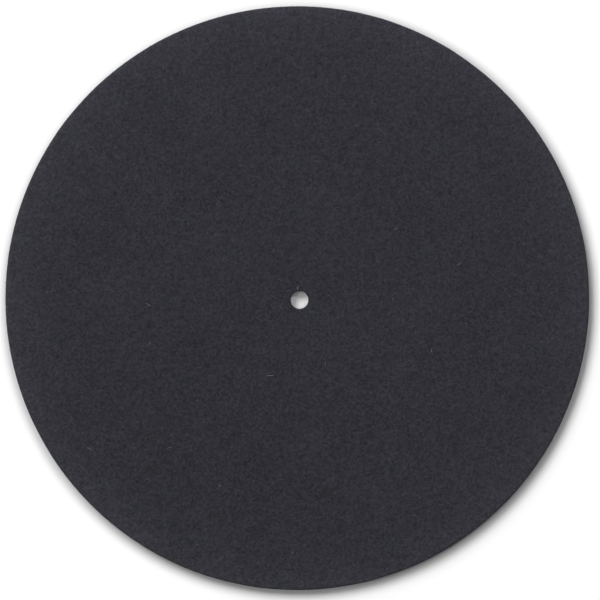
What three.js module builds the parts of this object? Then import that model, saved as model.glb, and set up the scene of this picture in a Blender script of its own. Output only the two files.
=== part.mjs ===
// A felt mat for a record player's platter: one disc, die-cut from a sheet of pressed wool felt,
// with a hole in its middle that drops over the record spindle.
// Millimetres, +Z up. The origin is on the spindle's axis, in the face that lies on the platter.

import * as THREE from "three";

// The disc covers the flat of a platter for 12 inch records.
const MAT_DIAMETER = 295;
const FELT_THICKNESS = 3;

// The hole clears the spindle all round, so that the mat drops on and lifts off freely.
const SPINDLE_DIAMETER = 7.1;
const SPINDLE_CLEARANCE = 0.95;

// The die cuts from above. It drags the nap of the top face down into a soft round, nips the
// bottom face off nearly sharp, and the squeezed wall between them springs back a little hollow.
const RIM_TOP_ROUND = 0.7;
const RIM_BOTTOM_ROUND = 0.25;
const RIM_WALL_HOLLOW = 0.15;

// The hole's small punch drags less felt with it than the die of the rim does.
const HOLE_TOP_ROUND = 0.45;
const HOLE_BOTTOM_ROUND = 0.2;
const HOLE_WALL_HOLLOW = 0.1;

// How finely the curves are faceted
const FACETS_ROUND_DISC = 180;
const STEPS_PER_CURVE = 3;

const QUARTER_TURN = Math.PI / 2;

const felt = new THREE.MeshStandardMaterial({
  name: "black_wool_felt",
  color: 0x323238,
  roughness: 0.95,
  metalness: 0,
});

// A cut edge as points (radius, height) from the bottom face up to the top face.
// outward is 1 where the felt ends at a larger radius, as at the rim, and -1 where it ends at a
// smaller one, as at the hole.
function cutEdge({ radius, outward, topRound, bottomRound, hollow }) {
  const topOfWall = FELT_THICKNESS - topRound;
  const straightOut = outward > 0 ? 0 : Math.PI;
  const clockwise = outward < 0;
  const bottomCurve = new THREE.EllipseCurve(
    radius - outward * bottomRound,
    bottomRound,
    bottomRound,
    bottomRound,
    -QUARTER_TURN,
    straightOut,
    clockwise,
  );
  // The middle of this curve lies half as deep as its control point.
  const wall = new THREE.QuadraticBezierCurve(
    new THREE.Vector2(radius, bottomRound),
    new THREE.Vector2(radius - outward * 2 * hollow, (bottomRound + topOfWall) / 2),
    new THREE.Vector2(radius, topOfWall),
  );
  const topCurve = new THREE.EllipseCurve(
    radius - outward * topRound,
    topOfWall,
    topRound,
    topRound,
    straightOut,
    QUARTER_TURN,
    clockwise,
  );
  return [
    ...bottomCurve.getPoints(STEPS_PER_CURVE),
    ...wall.getPoints(STEPS_PER_CURVE).slice(1),
    ...topCurve.getPoints(STEPS_PER_CURVE).slice(1),
  ];
}

// The felt's section: up the rim's edge, across the top face, down the hole's edge and back
// along the bottom face.
function feltSection() {
  const rim = cutEdge({
    radius: MAT_DIAMETER / 2,
    outward: 1,
    topRound: RIM_TOP_ROUND,
    bottomRound: RIM_BOTTOM_ROUND,
    hollow: RIM_WALL_HOLLOW,
  });
  const hole = cutEdge({
    radius: SPINDLE_DIAMETER / 2 + SPINDLE_CLEARANCE,
    outward: -1,
    topRound: HOLE_TOP_ROUND,
    bottomRound: HOLE_BOTTOM_ROUND,
    hollow: HOLE_WALL_HOLLOW,
  });
  return [...rim, ...hole.reverse(), rim[0].clone()];
}

// The whole mat is one piece: its section turned once round the spindle's axis.
function feltMat() {
  const disc = new THREE.LatheGeometry(feltSection(), FACETS_ROUND_DISC);
  disc.rotateX(QUARTER_TURN);
  const mat = new THREE.Mesh(disc, felt);
  mat.name = "felt_mat";
  return mat;
}

const platterMat = new THREE.Group();
platterMat.name = "turntable_platter_mat";
platterMat.add(feltMat());

export default platterMat;
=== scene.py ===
"""A felt mat for a record player's platter: the die-cut disc of pressed wool, the loose fibres of
its nap and of its cut edges, the pale lint caught in it, and a white table in soft studio light."""

import math
import random

import bmesh
import bpy
from mathutils import Matrix, Vector, noise


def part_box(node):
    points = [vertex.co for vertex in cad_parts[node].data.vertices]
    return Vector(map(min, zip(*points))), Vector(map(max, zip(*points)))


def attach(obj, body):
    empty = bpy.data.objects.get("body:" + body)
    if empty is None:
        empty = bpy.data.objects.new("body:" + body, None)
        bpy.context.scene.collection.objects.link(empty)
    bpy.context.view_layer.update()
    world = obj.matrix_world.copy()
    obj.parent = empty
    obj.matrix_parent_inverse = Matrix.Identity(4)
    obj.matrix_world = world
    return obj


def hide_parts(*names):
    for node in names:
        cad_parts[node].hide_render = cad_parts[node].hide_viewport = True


bl_info = {
    "name": "Turntable Platter Mat",
    "version": (1, 0, 0),
    "blender": (4, 5, 0),
    "location": "3D View > Sidebar > Platter Mat",
    "description": "Dresses a felt platter mat: its nap, its cut edges, its lint and a white table",
    "category": "Object",
}

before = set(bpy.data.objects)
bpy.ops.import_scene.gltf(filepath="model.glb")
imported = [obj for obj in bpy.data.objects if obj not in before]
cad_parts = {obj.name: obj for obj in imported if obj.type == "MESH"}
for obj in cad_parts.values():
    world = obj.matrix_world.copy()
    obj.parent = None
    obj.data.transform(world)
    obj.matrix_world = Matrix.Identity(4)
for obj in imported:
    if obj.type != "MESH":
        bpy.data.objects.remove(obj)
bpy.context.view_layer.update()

MM = 0.001

# The disc as the construction gives it
MAT_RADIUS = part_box("felt_mat")[1].x
FELT_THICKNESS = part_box("felt_mat")[1].z
HOLE_RADIUS = min(v.co.xy.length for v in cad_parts["felt_mat"].data.vertices)

# How the photograph shows it: its width in pixels, the mat's width and the middle of the hole,
# and how wide a pixel is on the mat
PHOTO_PIXELS = 600
MAT_PIXELS = 584
HOLE_PIXEL = Vector((299.56, 300.0))
PIXEL = 2 * MAT_RADIUS / MAT_PIXELS

# Pale lint as it lies in the photograph: the middle's x and y in pixels, heading in degrees,
# length in mm, the turn from end to end in degrees and how thick it is beside a loose wool fibre
PHOTO_LINT = (
    (89.6, 447.9, 155, 4.0, 20, 1.2),
    (95.4, 451.6, 100, 2.4, -150, 0.45),
    (270, 374.8, 4, 4.4, 10, 1.6),
    (431.6, 350.8, 85, 1.8, 0, 1.6),
    (149.2, 302.8, 142, 4.2, -60, 0.9),
    (116, 205.4, 62, 3.8, 20, 0.6),
    (460.2, 263.3, 32, 2.6, -40, 1.1),
    (395.2, 228, 32, 2.4, 0, 1.0),
    (218, 485, 140, 3.2, 30, 0.8),
    (324.2, 363, 92, 3.6, 30, 0.6),
    (170, 447.4, 12, 4.0, -30, 0.7),
    (171.4, 434.8, 142, 2.8, -20, 0.6),
    (392.4, 299.2, 90, 2.4, 0, 0.7),
    (149.2, 341.9, 42, 2.8, 40, 0.8),
    (191.6, 326.4, 110, 2.6, 10, 0.7),
    (416.4, 42.8, 95, 2.0, 0, 1.0),
    (297.1, 287.9, 72, 2.6, 10, 1.6),
)


def from_hex(code):
    """The linear colour of an sRGB hex value such as #323238."""
    levels = [int(code[place : place + 2], 16) / 255 for place in (1, 3, 5)]
    return tuple(
        level / 12.92 if level <= 0.04045 else ((level + 0.055) / 1.055) ** 2.4
        for level in levels
    )


def opaque(colour):
    """A colour property as the four numbers that a colour socket takes."""
    return (*colour, 1.0)


class FeltSettings(bpy.types.PropertyGroup):
    """The cut disc and its dye."""

    top_round: bpy.props.FloatProperty(
        name="Top round",
        description="How far the die drags the nap down round the rim",
        default=0.7 * MM,
        unit="LENGTH",
    )
    bottom_round: bpy.props.FloatProperty(
        name="Bottom round",
        description="The small round that the die leaves at the bottom face",
        default=0.25 * MM,
        unit="LENGTH",
    )
    wall_hollow: bpy.props.FloatProperty(
        name="Wall hollow",
        description="How far the squeezed wall springs back between its two rounds",
        default=0.15 * MM,
        unit="LENGTH",
    )
    raggedness: bpy.props.FloatProperty(
        name="Raggedness",
        description="How far the cut edges wander from a true circle",
        default=0.09 * MM,
        unit="LENGTH",
    )
    dimples: bpy.props.FloatProperty(
        name="Dimples",
        description="How deep the pressed face is dimpled",
        default=0.05 * MM,
        unit="LENGTH",
    )
    violet_wool: bpy.props.FloatVectorProperty(
        name="Violet wool",
        description="The warmer of the two dyed wools in the blend",
        default=from_hex("#2c2b31"),
        subtype="COLOR",
    )
    slate_wool: bpy.props.FloatVectorProperty(
        name="Slate wool",
        description="The cooler of the two dyed wools in the blend",
        default=from_hex("#2b2c31"),
        subtype="COLOR",
    )


class FibreSettings(bpy.types.PropertyGroup):
    """The loose fibres and the lint."""

    nap_count: bpy.props.IntProperty(
        name="Nap fibres",
        description="How many loose fibres lie on the top face",
        default=2800,
    )
    rim_count: bpy.props.IntProperty(
        name="Rim fibres",
        description="How many fibres stand out of the rim's cut edge",
        default=1500,
    )
    hole_count: bpy.props.IntProperty(
        name="Hole fibres",
        description="How many fibres stand out of the hole's cut edge",
        default=70,
    )
    lint_count: bpy.props.IntProperty(
        name="Faint lint",
        description="How many short specks of lint lie among the long ones",
        default=60,
    )
    fibre_width: bpy.props.FloatProperty(
        name="Fibre width",
        description="The width of a loose fibre",
        default=0.05 * MM,
        unit="LENGTH",
    )
    fibre_colour: bpy.props.FloatVectorProperty(
        name="Loose wool",
        description="The colour of the dyed fibres that stand free and catch the light",
        default=from_hex("#4b4b53"),
        subtype="COLOR",
    )
    lint_colour: bpy.props.FloatVectorProperty(
        name="Lint",
        description="The colour of the undyed lint",
        default=from_hex("#c9c7c2"),
        subtype="COLOR",
    )


class StageSettings(bpy.types.PropertyGroup):
    """The table, the light and the camera."""

    camera_distance: bpy.props.FloatProperty(
        name="Camera distance",
        description="From the camera to the middle of the mat",
        default=0.6,
        unit="LENGTH",
    )
    camera_lean: bpy.props.FloatProperty(
        name="Camera lean",
        description="How far the camera leans from straight above",
        default=math.radians(2.32),
        subtype="ANGLE",
    )
    camera_side: bpy.props.FloatProperty(
        name="Camera side",
        description="The side that the camera leans to, from +X towards +Y",
        default=math.radians(140.7),
        subtype="ANGLE",
    )
    skylight: bpy.props.FloatProperty(
        name="Skylight",
        description="The share of the light on the table that comes from all round",
        default=0.15,
    )
    lamp_width: bpy.props.FloatProperty(
        name="Lamp width",
        description="How wide each soft box looks from the table",
        default=math.radians(34),
        subtype="ANGLE",
    )


# Forms

ROUND_STEPS = 4
WALL_STEPS = 5

# The hole's small punch drags less felt with it than the die of the rim does
PUNCH_DRAG = 0.65

# A ring of faces on the top face and one on the bottom face are this wide
TOP_RING = 1.1 * MM
BOTTOM_RING = 24 * MM

# The hole has this many facets, and they double each time that the radius has doubled from here
HOLE_FACETS = 112
FIRST_DOUBLING = 23 * MM

# The pressed face's dimples are this far apart. Smaller ones break them up, so many times finer
# and shallower by this power of it, and below the face they all fade as a power of the height.
DIMPLE = 4.5 * MM
DIMPLE_LAYERS = 2
FINER = 2.1
SHALLOWER = 0.8
DIMPLES_FADE = 3

# A cut edge strays in long swings and in small tufts. The tufts lie in thin layers and stray this
# share as far as the swings, and the felt moves with the edge up to this far from the cut.
SWING = 16 * MM
CUT_TUFT = 1.6 * MM
CUT_LAYER = 0.6 * MM
TUFT_SHARE = 0.6
CUT_REACH = 2 * MM


def cut_edge(radius, outward, felt, drag=1.0):
    """A die-cut edge as (radius, height) from the bottom face to the top face.

    outward is 1 where the felt ends at a larger radius, and -1 where it ends at a smaller one.
    drag is how much felt the tool takes with it, as a share of what the rim's die takes.
    """
    top_round = felt.top_round * drag
    bottom_round = felt.bottom_round * drag
    wall_top = FELT_THICKNESS - top_round
    points = []
    for step in range(ROUND_STEPS + 1):
        turn = math.pi / 2 * step / ROUND_STEPS
        inset = bottom_round * (1 - math.sin(turn))
        points.append((radius - outward * inset, bottom_round * (1 - math.cos(turn))))
    for step in range(1, WALL_STEPS):
        share = step / WALL_STEPS
        inset = felt.wall_hollow * drag * 4 * share * (1 - share)
        height = bottom_round + share * (wall_top - bottom_round)
        points.append((radius - outward * inset, height))
    for step in range(ROUND_STEPS + 1):
        turn = math.pi / 2 * step / ROUND_STEPS
        inset = top_round * (1 - math.cos(turn))
        points.append((radius - outward * inset, wall_top + top_round * math.sin(turn)))
    return points


def flat_rings(start, end, width):
    """The rings between two points on a flat face, both left out."""
    steps = max(1, round(abs(end[0] - start[0]) / width))
    return [
        (start[0] + (end[0] - start[0]) * step / steps, start[1]) for step in range(1, steps)
    ]


def facets_at(radius):
    """How many facets a ring of that radius has, so that they stay about as long as wide."""
    doublings = max(0, math.floor(math.log2(radius / FIRST_DOUBLING)) + 1)
    return HOLE_FACETS * 2**doublings


def edges_of(verts):
    """The edges that meet at some vertices, each once."""
    return list(dict.fromkeys(edge for vert in verts for edge in vert.link_edges))


def first_ring(bm, point):
    """A circle of edges round the spindle's axis at a point (radius, height) of the section."""
    radius, height = point
    made = bmesh.ops.create_circle(
        bm,
        cap_ends=False,
        segments=HOLE_FACETS,
        radius=radius,
        matrix=Matrix.Translation((0, 0, height)),
    )
    return edges_of(made["verts"])


def next_ring(bm, edges, start, end):
    """Draws a ring on from one point of the section to the next. Returns the new ring's edges."""
    if facets_at(end[0]) > len(edges):
        cut = bmesh.ops.subdivide_edges(bm, edges=edges, cuts=1)["geom_inner"]
        added = [part for part in cut if isinstance(part, bmesh.types.BMVert)]
        for vert in added:
            vert.co.xy = start[0] * vert.co.xy.normalized()
        edges = edges_of(added)
    drawn = bmesh.ops.extrude_edge_only(bm, edges=edges)["geom"]
    moved = {part for part in drawn if isinstance(part, bmesh.types.BMVert)}
    for vert in moved:
        vert.co.xy *= end[0] / start[0]
        vert.co.z = end[1]
    return [
        part
        for part in drawn
        if isinstance(part, bmesh.types.BMEdge) and moved.issuperset(part.verts)
    ]


def draw(bm, edges, section):
    """Draws a ring along a line of points, from the first to the last."""
    for start, end in zip(section, section[1:]):
        edges = next_ring(bm, edges, start, end)
    return edges


def dimple(x, y, depth):
    """How far the pressed face rises or falls at a place."""
    place = Vector((x, y, 0)) / DIMPLE
    return depth * noise.fractal(place, SHALLOWER, FINER, DIMPLE_LAYERS)


def wander(place, raggedness):
    """How far a cut edge strays from a true circle at a place: long swings and small tufts."""
    swing = noise.noise(Vector((place.x, place.y, 0)) / SWING)
    tuft = noise.noise(Vector((place.x / CUT_TUFT, place.y / CUT_TUFT, place.z / CUT_LAYER)))
    return raggedness * (swing + TUFT_SHARE * tuft)


def felt_disc(felt):
    """The mat: a ring drawn both ways from the hole's top to the rim, and then roughened."""
    hole = cut_edge(HOLE_RADIUS, -1, felt, PUNCH_DRAG)
    rim = cut_edge(MAT_RADIUS, 1, felt)
    over = [hole[-1], *flat_rings(hole[-1], rim[-1], TOP_RING), *reversed(rim)]
    under = [*reversed(hole), *flat_rings(hole[0], rim[0], BOTTOM_RING)]
    bm = bmesh.new()
    start = first_ring(bm, hole[-1])
    bmesh.ops.bridge_loops(bm, edges=draw(bm, start, over) + draw(bm, start, under))
    for vert in bm.verts:
        out = vert.co.xy.length
        nearest_cut = min(MAT_RADIUS - out, out - HOLE_RADIUS)
        near = max(0.0, 1 - nearest_cut / CUT_REACH)
        vert.co.xy *= 1 + near * wander(vert.co, felt.raggedness) / out
        lift = (vert.co.z / FELT_THICKNESS) ** DIMPLES_FADE
        vert.co.z += lift * dimple(vert.co.x, vert.co.y, felt.dimples)
    bmesh.ops.recalc_face_normals(bm, faces=bm.faces)
    return piece("felt_disc", bm)


def piece(name, bm):
    """A smooth-shaded object of a bmesh, which rides on the mat's one body."""
    for face in bm.faces:
        face.smooth = True
    mesh = bpy.data.meshes.new(name)
    bm.to_mesh(mesh)
    bm.free()
    made = bpy.data.objects.new(name, mesh)
    bpy.context.scene.collection.objects.link(made)
    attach(made, "root")
    return made


# Fibres

FIBRE_STEPS = 5

# A fibre's tips are this share as thick as its middle, and sink into the felt by this share of
# the height that it bows to. Points as close as the last one are the same point.
TIP = 0.25
SUNK = 0.25
SAME_POINT = 0.0005 * MM

# Loose fibres on the top face: the least and greatest length in mm, the spread of their curl in
# radians, how high they bow in mm, how wide they are as a share of the fibre width in the
# settings, and how far they keep from the cut edges
NAP_SEED = 12
NAP_LENGTH = (1.4, 4.2)
NAP_CURL = 1.3
NAP_BOW = (0.05, 0.2)
NAP_WIDTH = (0.8, 1.4)
NAP_MARGIN = 2 * MM

# Fibres that stand out of a cut: the same, then how deep they are rooted, the share of the
# thickness that they leave it at, less a drop, how far they rise towards the tip in mm, how near
# the table they come, and the spread in radians of how far they turn aside
FUZZ_SEED = 7
FUZZ_LENGTH = (0.5, 1.3)
FUZZ_CURL = 1.4
FUZZ_WIDTH = (0.7, 1.1)
FUZZ_ROOT = 0.3 * MM
FUZZ_HEIGHT = (0.2, 1)
FUZZ_DROP = 0.25 * MM
FUZZ_RISE = (-0.3, 0.35)
FUZZ_LEAST_HEIGHT = 0.05 * MM
FUZZ_SIDE = 0.8

# Short specks of lint, and how high all lint bows
LINT_SEED = 31
LINT_LENGTH = (0.6, 2.2)
LINT_CURL = 1
LINT_BOW = 0.15 * MM
LINT_WIDTH = (0.2, 0.45)
LINT_MARGIN = 3 * MM


def fibre(curve, root, heading, length, curl, climb, width):
    """Adds one fibre to a curve: it leaves its root at a heading, bends evenly and thins out.

    heading is its angle in plan and curl the angle that it turns through. climb(share, x, y) is
    its height at that share of its length and that place.
    """
    spline = curve.splines.new("POLY")
    spline.points.add(FIBRE_STEPS)
    x, y = root
    stride = length / FIBRE_STEPS
    for step, point in enumerate(spline.points):
        share = step / FIBRE_STEPS
        point.co = (x, y, climb(share, x, y), 1)
        point.radius = width / 2 * (TIP + (1 - TIP) * math.sin(math.pi * share))
        turned = heading + curl * (share - 0.5)
        x += stride * math.cos(turned)
        y += stride * math.sin(turned)


def fibres(name, lay):
    """A piece of many fibres. lay(curve) adds them, and the curve's round bevel gives them width."""
    curve = bpy.data.curves.new(name, "CURVE")
    curve.dimensions = "3D"
    curve.bevel_depth = 1
    curve.bevel_resolution = 0
    curve.use_fill_caps = True
    lay(curve)
    holder = bpy.data.objects.new(name, curve)
    mesh = bpy.data.meshes.new_from_object(holder)
    bpy.data.objects.remove(holder)
    bpy.data.curves.remove(curve)
    bm = bmesh.new()
    bm.from_mesh(mesh)
    bpy.data.meshes.remove(mesh)
    bmesh.ops.remove_doubles(bm, verts=bm.verts, dist=SAME_POINT)
    bmesh.ops.recalc_face_normals(bm, faces=bm.faces)
    return piece(name, bm)


def on_disc(chance, margin):
    """A random place on the top face, at least margin away from the cut edges."""
    inner, outer = HOLE_RADIUS + margin, MAT_RADIUS - margin
    out = math.sqrt(chance.uniform(inner**2, outer**2))
    turn = chance.uniform(0, math.tau)
    return out * math.cos(turn), out * math.sin(turn)


def over_felt(depth, arch):
    """The height of a fibre that bows over the top face, with both ends worked into it."""

    def climb(share, x, y):
        bow = 4 * share * (1 - share)
        return FELT_THICKNESS + dimple(x, y, depth) + arch * (bow - SUNK)

    return climb


def nap(settings, felt):
    """Loose dyed fibres that lie on the top face in all directions."""
    chance = random.Random(NAP_SEED)

    def lay(curve):
        for _ in range(settings.nap_count):
            fibre(
                curve,
                on_disc(chance, NAP_MARGIN),
                chance.uniform(0, math.tau),
                chance.uniform(*NAP_LENGTH) * MM,
                chance.gauss(0, NAP_CURL),
                over_felt(felt.dimples, chance.uniform(*NAP_BOW) * MM),
                settings.fibre_width * chance.uniform(*NAP_WIDTH),
            )

    return fibres("loose_nap", lay)


def out_of_cut(chance, radius, outward, curve, settings):
    """One fibre that stands out of a cut edge."""
    turn = chance.uniform(0, math.tau)
    root_radius = radius - outward * FUZZ_ROOT
    low = chance.uniform(*FUZZ_HEIGHT) * FELT_THICKNESS - FUZZ_DROP
    rise = chance.uniform(*FUZZ_RISE) * MM
    side = chance.gauss(0, FUZZ_SIDE)
    fibre(
        curve,
        (root_radius * math.cos(turn), root_radius * math.sin(turn)),
        (turn if outward > 0 else turn + math.pi) + side,
        chance.uniform(*FUZZ_LENGTH) * MM,
        chance.gauss(0, FUZZ_CURL),
        lambda share, x, y: max(FUZZ_LEAST_HEIGHT, low + rise * share),
        settings.fibre_width * chance.uniform(*FUZZ_WIDTH),
    )


def edge_fuzz(settings):
    """Dyed fibres that the die pulled out of the rim and the hole."""
    chance = random.Random(FUZZ_SEED)

    def lay(curve):
        for _ in range(settings.rim_count):
            out_of_cut(chance, MAT_RADIUS, 1, curve, settings)
        for _ in range(settings.hole_count):
            out_of_cut(chance, HOLE_RADIUS, -1, curve, settings)

    return fibres("edge_fuzz", lay)


def from_photo(x, y):
    """The place on the mat of a pixel of the photograph."""
    return (x + 0.5 - HOLE_PIXEL.x) * PIXEL, (HOLE_PIXEL.y - y - 0.5) * PIXEL


def lint(settings, felt):
    """Undyed fibres caught in the nap, the long ones where the photograph shows them."""
    chance = random.Random(LINT_SEED)

    def lay(curve):
        for x, y, heading, length, turn, thickness in PHOTO_LINT:
            along = math.radians(heading)
            back = Vector((math.cos(along), math.sin(along))) * length / 2 * MM
            fibre(
                curve,
                Vector(from_photo(x, y)) - back,
                along,
                length * MM,
                math.radians(turn),
                over_felt(felt.dimples, LINT_BOW),
                settings.fibre_width * thickness,
            )
        for _ in range(settings.lint_count):
            fibre(
                curve,
                on_disc(chance, LINT_MARGIN),
                chance.uniform(0, math.tau),
                chance.uniform(*LINT_LENGTH) * MM,
                chance.gauss(0, LINT_CURL),
                over_felt(felt.dimples, LINT_BOW),
                settings.fibre_width * chance.uniform(*LINT_WIDTH),
            )

    return fibres("pale_lint", lay)


# Materials


def add(tree, kind, inputs=(), **settings):
    """Adds a node with its settings.

    An input takes a value, the output to link to it, or a node, whose first output is linked.
    """
    made = tree.nodes.new(kind)
    for name, value in settings.items():
        setattr(made, name, value)
    for name, value in dict(inputs).items():
        if isinstance(value, bpy.types.Node):
            value = value.outputs[0]
        if isinstance(value, bpy.types.NodeSocket):
            tree.links.new(value, made.inputs[name])
        else:
            made.inputs[name].default_value = value
    return made


def material(name):
    """A new material, with its tree emptied but for the output."""
    made = bpy.data.materials.new(name)
    made.use_nodes = True
    made.node_tree.nodes.clear()
    output = add(made.node_tree, "ShaderNodeOutputMaterial")
    return made, made.node_tree, output.inputs["Surface"]


# Sizes of the felt's patterns in millimetres. Its crimped wool fibres are about 0.03 mm thick, a
# seventeenth of a pixel, so what the eye sees is the bundles and tufts that they gather into. Tufts
# and crimp are about their real size. A strand is drawn coarser, as wide as some twenty fibres.
TUFT = 1.2
STRAND_LENGTH = 3.0
STRAND_WIDTH = 0.7
CRIMP = 3.0
CLOUD = 38.0
BLEND = 7.0
LAYER = 0.35

# The strands lie in all directions: three sets of them, turned by these degrees, show as that
STRAND_TURNS = (10, 70, 130)

# The levels that a noise and the lightest of three noises stray from, up and down
NOISE_MEAN = 0.5
STRANDS_MEAN = 0.56

# How much each of them lightens or darkens the dye. The sum is raised to a power, because light
# fibres stand out more than the gaps between them do.
PLAIN_TONE = 1.002
TUFT_TONE = 0.485
STRAND_TONE = 0.485
CLOUD_TONE = 0.09
# Partly painted light: the ring towards the rim is paler on the side that the key light comes from
PALE_RIM_AND_PAINTED_LIGHT_TONE = 0.11
# Painted light: the felt pales towards the far side
PAINTED_LIGHT_SIDE_TONE = 0.024
TONE_POWER = 3.0

# How steeply the paler nap sets in towards the rim, as a power of the share of the mat's radius, and
# the middle of that ring in millimetres. The middle is set off towards the lower right, so the ring
# is paler on the upper left, the side that the key light comes from: painted light.
RIM_POWER = 12.5
PAINTED_LIGHT_RIM_MIDDLE = (1.1, -1.1, 0)

# The tone of a cut face, and how far towards straight up or down a face has to look to lose it
CUT_TONE = 0.75
CUT_ENDS = 0.6

# The levels of the blend's noise between which the warmer wool gives way to the cooler
SLATE_STARTS = 0.47
SLATE_ENDS = 0.67

# How deep the tufts stand, and the share of it that the strands stand
NAP_DEPTH = 0.12 * MM
STRAND_DEPTH = 0.8

# Over what distance loose fibres change in tone, and how far from their colour: a dyed one takes
# the dye unevenly, and an undyed one has little to take
FIBRE_PATCH = 2 * MM
DYED_SPREAD = 0.7
UNDYED_SPREAD = 0.1


def strands_one_way(tree, place, turn):
    """Long thin strands that all lie one way, turned by that many degrees."""
    laid = add(
        tree,
        "ShaderNodeMapping",
        {
            "Vector": place,
            "Location": (turn, -turn, turn),
            "Rotation": (0, 0, math.radians(turn)),
            "Scale": (STRAND_LENGTH, STRAND_WIDTH, STRAND_WIDTH),
        },
        vector_type="TEXTURE",
    )
    return add(tree, "ShaderNodeTexNoise", {"Vector": laid, "Scale": 1, "Detail": 0.6})


def wool_felt(felt):
    """Pressed wool felt, dyed charcoal.

    The fibres were carded, pressed under steam and dyed. They point every way and scatter the light,
    so the face is dead matt with a fine mottle, and it has only a faint sheen at a glancing angle.
    Two wools of slightly different dye are blended in it, and the cut edge looks darker. The colour
    also holds painted light: a pale ring towards the rim, paler on the side that the key light comes
    from, and a paling towards the far side.
    """
    made, tree, surface = material("pressed_wool_felt_charcoal")
    place = add(tree, "ShaderNodeTexCoord").outputs["Object"]
    in_mm = add(tree, "ShaderNodeVectorMath", {0: place, "Scale": 1 / MM}, operation="SCALE")

    # Pressing lays the fibres flat, so the tufts are thin layers where the cut shows them
    layered = add(
        tree, "ShaderNodeVectorMath", {0: in_mm, 1: (1, 1, TUFT / LAYER)}, operation="MULTIPLY"
    )
    tufts = add(
        tree,
        "ShaderNodeTexNoise",
        {"Vector": layered, "Scale": 1 / TUFT, "Detail": 2, "Roughness": 0.48},
    )

    # Crimp bends the strands: a slow noise moves the place that they are drawn at
    crimp = add(tree, "ShaderNodeTexNoise", {"Vector": layered, "Scale": 1 / CRIMP, "Detail": 1})
    bend = add(
        tree,
        "ShaderNodeVectorMath",
        {0: crimp.outputs["Color"], 1: (NOISE_MEAN, NOISE_MEAN, NOISE_MEAN)},
        operation="SUBTRACT",
    )
    bent = add(
        tree,
        "ShaderNodeVectorMath",
        {0: bend, 1: (CRIMP, CRIMP, 0), 2: layered},
        operation="MULTIPLY_ADD",
    )
    first_turn, *other_turns = STRAND_TURNS
    strands = strands_one_way(tree, bent, first_turn)
    for turn in other_turns:
        crossing = strands_one_way(tree, bent, turn)
        strands = add(tree, "ShaderNodeMath", {0: strands, 1: crossing}, operation="MAXIMUM")
    clouds = add(tree, "ShaderNodeTexNoise", {"Vector": in_mm, "Scale": 1 / CLOUD, "Detail": 2})
    blend = add(tree, "ShaderNodeTexNoise", {"Vector": in_mm, "Scale": 1 / BLEND, "Detail": 3})

    # The nap is a little paler towards the rim, and the ring is paler still on the side that the key
    # light comes from, which is painted light. The felt also pales slowly towards the far side, as
    # the photograph shows it, and that is painted light too.
    flat = add(tree, "ShaderNodeVectorMath", {0: in_mm, 1: (1, 1, 0)}, operation="MULTIPLY")
    out = add(
        tree, "ShaderNodeVectorMath", {0: flat, 1: PAINTED_LIGHT_RIM_MIDDLE}, operation="DISTANCE"
    ).outputs["Value"]
    out = add(tree, "ShaderNodeMath", {0: out, 1: MM / MAT_RADIUS}, operation="MULTIPLY")
    pale_rim_and_painted_light = add(tree, "ShaderNodeMath", {0: out, 1: RIM_POWER}, operation="POWER")
    # Painted light: the tone rises towards +Y, the far side
    across = add(tree, "ShaderNodeSeparateXYZ", {0: in_mm}).outputs["Y"]
    tone = add(
        tree,
        "ShaderNodeMath",
        {0: across, 1: PAINTED_LIGHT_SIDE_TONE * MM / MAT_RADIUS, 2: PLAIN_TONE},
        operation="MULTIPLY_ADD",
    )
    tone = add(
        tree, "ShaderNodeMath", {0: pale_rim_and_painted_light, 1: PALE_RIM_AND_PAINTED_LIGHT_TONE, 2: tone}, operation="MULTIPLY_ADD"
    )
    for pattern, mean, strength in (
        (tufts, NOISE_MEAN, TUFT_TONE),
        (strands, STRANDS_MEAN, STRAND_TONE),
        (clouds, NOISE_MEAN, CLOUD_TONE),
    ):
        stray = add(tree, "ShaderNodeMath", {0: pattern, 1: mean}, operation="SUBTRACT")
        tone = add(
            tree, "ShaderNodeMath", {0: stray, 1: strength, 2: tone}, operation="MULTIPLY_ADD"
        )
    tone = add(tree, "ShaderNodeMath", {0: tone, 1: TONE_POWER}, operation="POWER")

    # The cut ends of the fibres swallow more light than the pressed faces do
    normal = add(tree, "ShaderNodeTexCoord").outputs["Normal"]
    facing = add(tree, "ShaderNodeSeparateXYZ", {0: normal}).outputs["Z"]
    upright = add(tree, "ShaderNodeMath", {0: facing}, operation="ABSOLUTE")
    cut = add(
        tree,
        "ShaderNodeMapRange",
        {"Value": upright, "From Max": CUT_ENDS, "To Min": CUT_TONE, "To Max": 1},
    )
    tone = add(tree, "ShaderNodeMath", {0: tone, 1: cut}, operation="MULTIPLY")

    # About three parts of the warmer wool to one of the cooler
    share = add(
        tree,
        "ShaderNodeMapRange",
        {"Value": blend, "From Min": SLATE_STARTS, "From Max": SLATE_ENDS},
    )
    dye = add(
        tree,
        "ShaderNodeMix",
        {"Factor": share, 6: opaque(felt.violet_wool), 7: opaque(felt.slate_wool)},
        data_type="RGBA",
    ).outputs[2]
    dyed = add(tree, "ShaderNodeVectorMath", {0: dye, "Scale": tone.outputs[0]}, operation="SCALE")

    depth = add(
        tree, "ShaderNodeMath", {0: strands, 1: STRAND_DEPTH, 2: tufts}, operation="MULTIPLY_ADD"
    )
    bump = add(tree, "ShaderNodeBump", {"Strength": 1, "Distance": NAP_DEPTH, "Height": depth})
    roughness = add(tree, "ShaderNodeMapRange", {"Value": strands, "To Min": 1, "To Max": 0.85})
    shader = add(
        tree,
        "ShaderNodeBsdfPrincipled",
        {
            "Base Color": dyed,
            "Roughness": roughness,
            "Specular IOR Level": 0.05,
            "Sheen Weight": 0.03,
            "Sheen Roughness": 0.6,
            "Normal": bump,
        },
    )
    tree.links.new(shader.outputs[0], surface)
    return made


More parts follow.
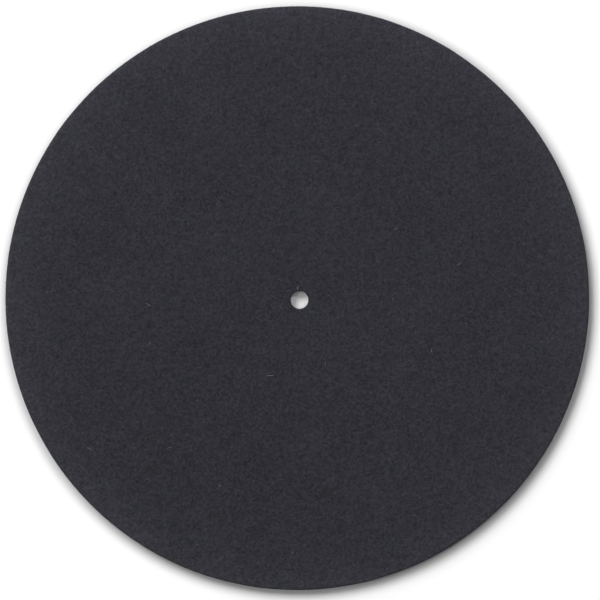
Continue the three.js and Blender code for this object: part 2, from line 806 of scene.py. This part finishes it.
def wool_fibre(name, colour, spread):
    """Single crimped wool fibres, dyed with the felt or left in the fleece's own off-white.

    Each is a solid thread with a scaly skin, so it takes a soft light along its length that the
    felt doesn't, and spread says how much paler or darker than its colour it may be.
    """
    made, tree, surface = material(name)
    place = add(tree, "ShaderNodeTexCoord").outputs["Object"]
    pattern = add(
        tree, "ShaderNodeTexNoise", {"Vector": place, "Scale": 1 / FIBRE_PATCH, "Detail": 1}
    )
    tone = add(
        tree,
        "ShaderNodeMapRange",
        {"Value": pattern, "To Min": 1 - spread, "To Max": 1 + spread},
    )
    shade = add(
        tree,
        "ShaderNodeVectorMath",
        {0: tuple(colour), "Scale": tone.outputs[0]},
        operation="SCALE",
    )
    shader = add(
        tree,
        "ShaderNodeBsdfPrincipled",
        {
            "Base Color": shade,
            "Roughness": 0.8,
            "Specular IOR Level": 0.3,
            "Sheen Weight": 0.1,
        },
    )
    tree.links.new(shader.outputs[0], surface)
    return made


# Stage

# The soft boxes: the side that each stands on, from +X towards +Y, its height over the table and
# its share of the light on the table. They stand low, and so far off that the light is even.
SOFT_BOXES = (
    ("key", 127, 22, 0.47),
    ("right_fill", 59, 28, 0.2),
    ("left_fill", 184, 29, 0.18),
)

# A sun lamp lights from one direction wherever it stands, so this only keeps it out of the way
LAMP_DISTANCE = 3

FLOOR_RADIUS = 4.0
FLOOR_FACETS = 96

# How much light the paint throws back, and the radii between which it turns plain white where it
# is looked at, well outside the mat's shadow
PAINT = 0.8
WHITE_STARTS = MAT_RADIUS + 0.02
WHITE_ENDS = 0.32

# The painted shade round the mat: its middle, the radii between which it fades, how dark it is and
# how white the paint is without it
SHADE_MIDDLE = (1.25 * MM, -1.9 * MM, 0)
SHADE_STARTS = MAT_RADIUS - 1.7 * MM
SHADE_ENDS = MAT_RADIUS + 6.8 * MM
SHADE = 0.628
WHITE = 1.04

# Painted light in the hole, on top of the painted shade: the paint is lifted most near one side,
# where the hole's real shadow falls, and least at the far end of this stretch from it
PAINTED_HOLE_LIGHT_SIDE = (-3.2 * MM, 3.2 * MM, 0)
PAINTED_HOLE_LIGHT_STARTS = 1 * MM
PAINTED_HOLE_LIGHT_ENDS = 5.5 * MM
MOST_PAINTED_HOLE_LIGHT = 1.04
LEAST_PAINTED_HOLE_LIGHT = 0.56

SENSOR_WIDTH = 36
NEAREST_SEEN = 0.01


def looked_at(tree):
    """1 where the camera, a reflection or a view through glass looks, and 0 for other light."""
    path = add(tree, "ShaderNodeLightPath").outputs
    seen = path["Is Camera Ray"]
    for ray in ("Is Glossy Ray", "Is Transmission Ray"):
        seen = add(
            tree, "ShaderNodeMath", {0: seen, 1: path[ray]}, operation="MAXIMUM"
        ).outputs[0]
    return seen


def white_table():
    """Matt white emulsion on the table: it takes the mat's shadow, painted shade round the mat and
    painted light in its hole, and further out it is white.
    """
    made, tree, surface = material("matt_white_emulsion_painted_shade")
    seen = looked_at(tree)
    place = add(tree, "ShaderNodeTexCoord").outputs["Object"]
    out = add(tree, "ShaderNodeVectorMath", {0: place}, operation="LENGTH").outputs["Value"]
    beyond = add(
        tree,
        "ShaderNodeMapRange",
        {"Value": out, "From Min": WHITE_STARTS, "From Max": WHITE_ENDS},
        interpolation_type="SMOOTHSTEP",
    )

    # Painted shade: pictures for a catalogue get a deeper shade all round where the object meets the
    # table, so the paint that is looked at is darker round the mat, and in the hole painted light
    # outweighs it. It lights or darkens nothing else.
    from_shade = add(
        tree, "ShaderNodeVectorMath", {0: place, 1: SHADE_MIDDLE}, operation="DISTANCE"
    ).outputs["Value"]
    shade = add(
        tree,
        "ShaderNodeMapRange",
        {
            "Value": from_shade,
            "From Min": SHADE_STARTS,
            "From Max": SHADE_ENDS,
            "To Min": SHADE,
            "To Max": WHITE,
        },
        interpolation_type="SMOOTHSTEP",
    )
    from_side = add(
        tree, "ShaderNodeVectorMath", {0: place, 1: PAINTED_HOLE_LIGHT_SIDE}, operation="DISTANCE"
    ).outputs["Value"]
    lift = add(
        tree,
        "ShaderNodeMapRange",
        {
            "Value": from_side,
            "From Min": PAINTED_HOLE_LIGHT_STARTS,
            "From Max": PAINTED_HOLE_LIGHT_ENDS,
            "To Min": MOST_PAINTED_HOLE_LIGHT,
            "To Max": LEAST_PAINTED_HOLE_LIGHT,
        },
        interpolation_type="SMOOTHSTEP",
    )
    # Painted light: in the hole the paint is lifted over the painted shade
    in_hole = add(tree, "ShaderNodeMath", {0: out, 1: 2 * HOLE_RADIUS}, operation="LESS_THAN")
    painted_shade_and_hole_light = add(
        tree, "ShaderNodeMath", {0: in_hole, 1: lift, 2: shade}, operation="MULTIPLY_ADD"
    )
    paint = add(
        tree,
        "ShaderNodeMix",
        {"Factor": seen, 6: opaque((PAINT, PAINT, PAINT)), 7: painted_shade_and_hole_light},
        data_type="RGBA",
    ).outputs[2]
    matt = add(tree, "ShaderNodeBsdfDiffuse", {"Color": paint})
    plain = add(tree, "ShaderNodeEmission", {"Strength": 1})
    share = add(tree, "ShaderNodeMath", {0: seen, 1: beyond}, operation="MULTIPLY")
    mixed = add(tree, "ShaderNodeMixShader", {0: share, 1: matt, 2: plain})
    tree.links.new(mixed.outputs[0], surface)
    return made


def table():
    """The table that the mat lies on."""
    bm = bmesh.new()
    bmesh.ops.create_circle(bm, cap_ends=True, segments=FLOOR_FACETS, radius=FLOOR_RADIUS)
    mesh = bpy.data.meshes.new("table")
    bm.to_mesh(mesh)
    bm.free()
    mesh.materials.append(white_table())
    made = bpy.data.objects.new("table", mesh)
    bpy.context.scene.collection.objects.link(made)


def soft_box(name, side, height, share, width):
    """A lamp that gives that share of the light that a white table needs to show white."""
    lamp = bpy.data.lights.new(name, "SUN")
    lamp.angle = width
    lamp.energy = math.pi * share / math.sin(height)
    made = bpy.data.objects.new(name, lamp)
    towards = Vector(
        (math.cos(side) * math.cos(height), math.sin(side) * math.cos(height), math.sin(height))
    )
    made.location = LAMP_DISTANCE * towards
    made.rotation_euler = (-towards).to_track_quat("-Z", "Y").to_euler()
    bpy.context.scene.collection.objects.link(made)


def sky(skylight):
    """Even light from all round, which the camera and reflections see as plain white."""
    world = bpy.data.worlds.new("white_room")
    world.use_nodes = True
    tree = world.node_tree
    tree.nodes.clear()
    light = add(tree, "ShaderNodeBackground", {"Color": (1, 1, 1, 1), "Strength": skylight})
    white = add(tree, "ShaderNodeBackground", {"Color": (1, 1, 1, 1), "Strength": 1})
    both = add(tree, "ShaderNodeMixShader", {0: looked_at(tree), 1: light, 2: white})
    add(tree, "ShaderNodeOutputWorld", {"Surface": both})
    bpy.context.scene.world = world


def camera(stage, felt):
    """Looks down at the hole, with the top of the photograph towards +Y."""
    data = bpy.data.cameras.new("camera")
    made = bpy.data.objects.new("camera", data)
    data.sensor_width = SENSOR_WIDTH
    share = MAT_PIXELS / PHOTO_PIXELS

    # The mat is widest at the foot of its top round, which is that much further away
    to_outline = stage.camera_distance + felt.top_round
    data.lens = data.sensor_width * share * to_outline / (2 * MAT_RADIUS)
    data.clip_start = NEAREST_SEEN
    off = (Vector((PHOTO_PIXELS / 2, PHOTO_PIXELS / 2)) - HOLE_PIXEL) * PIXEL
    aim = Vector((off.x, -off.y, FELT_THICKNESS))
    lean, side = stage.camera_lean, stage.camera_side
    back = Vector(
        (math.sin(lean) * math.cos(side), math.sin(lean) * math.sin(side), math.cos(lean))
    )
    right = Vector((0, 1, 0)).cross(back).normalized()
    up = back.cross(right)
    made.rotation_euler = Matrix((right, up, back)).transposed().to_euler()
    made.location = aim + back * stage.camera_distance
    bpy.context.scene.collection.objects.link(made)
    bpy.context.scene.camera = made


# Operators


class PLATTERMAT_OT_felt(bpy.types.Operator):
    """Make the felt disc, in the place of the plain one"""

    bl_idname = "platter_mat.felt"
    bl_label = "Felt Disc"

    def execute(self, context):
        settings = context.scene.platter_mat_felt
        disc = felt_disc(settings)
        disc.data.materials.append(wool_felt(settings))
        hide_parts("felt_mat")
        return {"FINISHED"}


class PLATTERMAT_OT_fibres(bpy.types.Operator):
    bl_idname = "platter_mat.fibres"
    bl_label = "Fibres and Lint"

    def execute(self, context):
        settings = context.scene.platter_mat_fibres
        felt = context.scene.platter_mat_felt
        dyed = wool_fibre("loose_wool_charcoal", settings.fibre_colour, DYED_SPREAD)
        undyed = wool_fibre("undyed_wool_lint", settings.lint_colour, UNDYED_SPREAD)
        loose = nap(settings, felt)
        fuzz = edge_fuzz(settings)
        for made in (loose, fuzz):
            made.data.materials.append(dyed)
        specks = lint(settings, felt)
        specks.data.materials.append(undyed)
        return {"FINISHED"}


class PLATTERMAT_OT_stage(bpy.types.Operator):
    """Make the white table, the soft light and the camera"""

    bl_idname = "platter_mat.stage"
    bl_label = "Table, Light and Camera"

    def execute(self, context):
        settings = context.scene.platter_mat_stage
        context.scene.view_settings.view_transform = "Standard"
        table()
        sky(settings.skylight)
        for name, side, height, share in SOFT_BOXES:
            soft_box(name, math.radians(side), math.radians(height), share, settings.lamp_width)
        camera(settings, context.scene.platter_mat_felt)
        return {"FINISHED"}


class VIEW3D_PT_platter_mat(bpy.types.Panel):
    """The mat's settings and the steps that make it"""

    bl_label = "Platter Mat"
    bl_space_type = "VIEW_3D"
    bl_region_type = "UI"
    bl_category = "Platter Mat"

    def draw(self, context):
        for step, group in STEPS:
            box = self.layout.box()
            settings = getattr(context.scene, group)
            for name in settings.__annotations__:
                box.prop(settings, name)
            box.operator(step.bl_idname)


STEPS = (
    (PLATTERMAT_OT_felt, "platter_mat_felt"),
    (PLATTERMAT_OT_fibres, "platter_mat_fibres"),
    (PLATTERMAT_OT_stage, "platter_mat_stage"),
)
GROUPS = {
    "platter_mat_felt": FeltSettings,
    "platter_mat_fibres": FibreSettings,
    "platter_mat_stage": StageSettings,
}
CLASSES = (*GROUPS.values(), *(step for step, _ in STEPS), VIEW3D_PT_platter_mat)


def register():
    for cls in CLASSES:
        bpy.utils.register_class(cls)
    for name, group in GROUPS.items():
        setattr(bpy.types.Scene, name, bpy.props.PointerProperty(type=group))


def unregister():
    for name in GROUPS:
        delattr(bpy.types.Scene, name)
    for cls in reversed(CLASSES):
        bpy.utils.unregister_class(cls)


def main():
    register()
    bpy.ops.platter_mat.felt()
    bpy.ops.platter_mat.fibres()
    bpy.ops.platter_mat.stage()


if __name__ == "__main__":
    main()
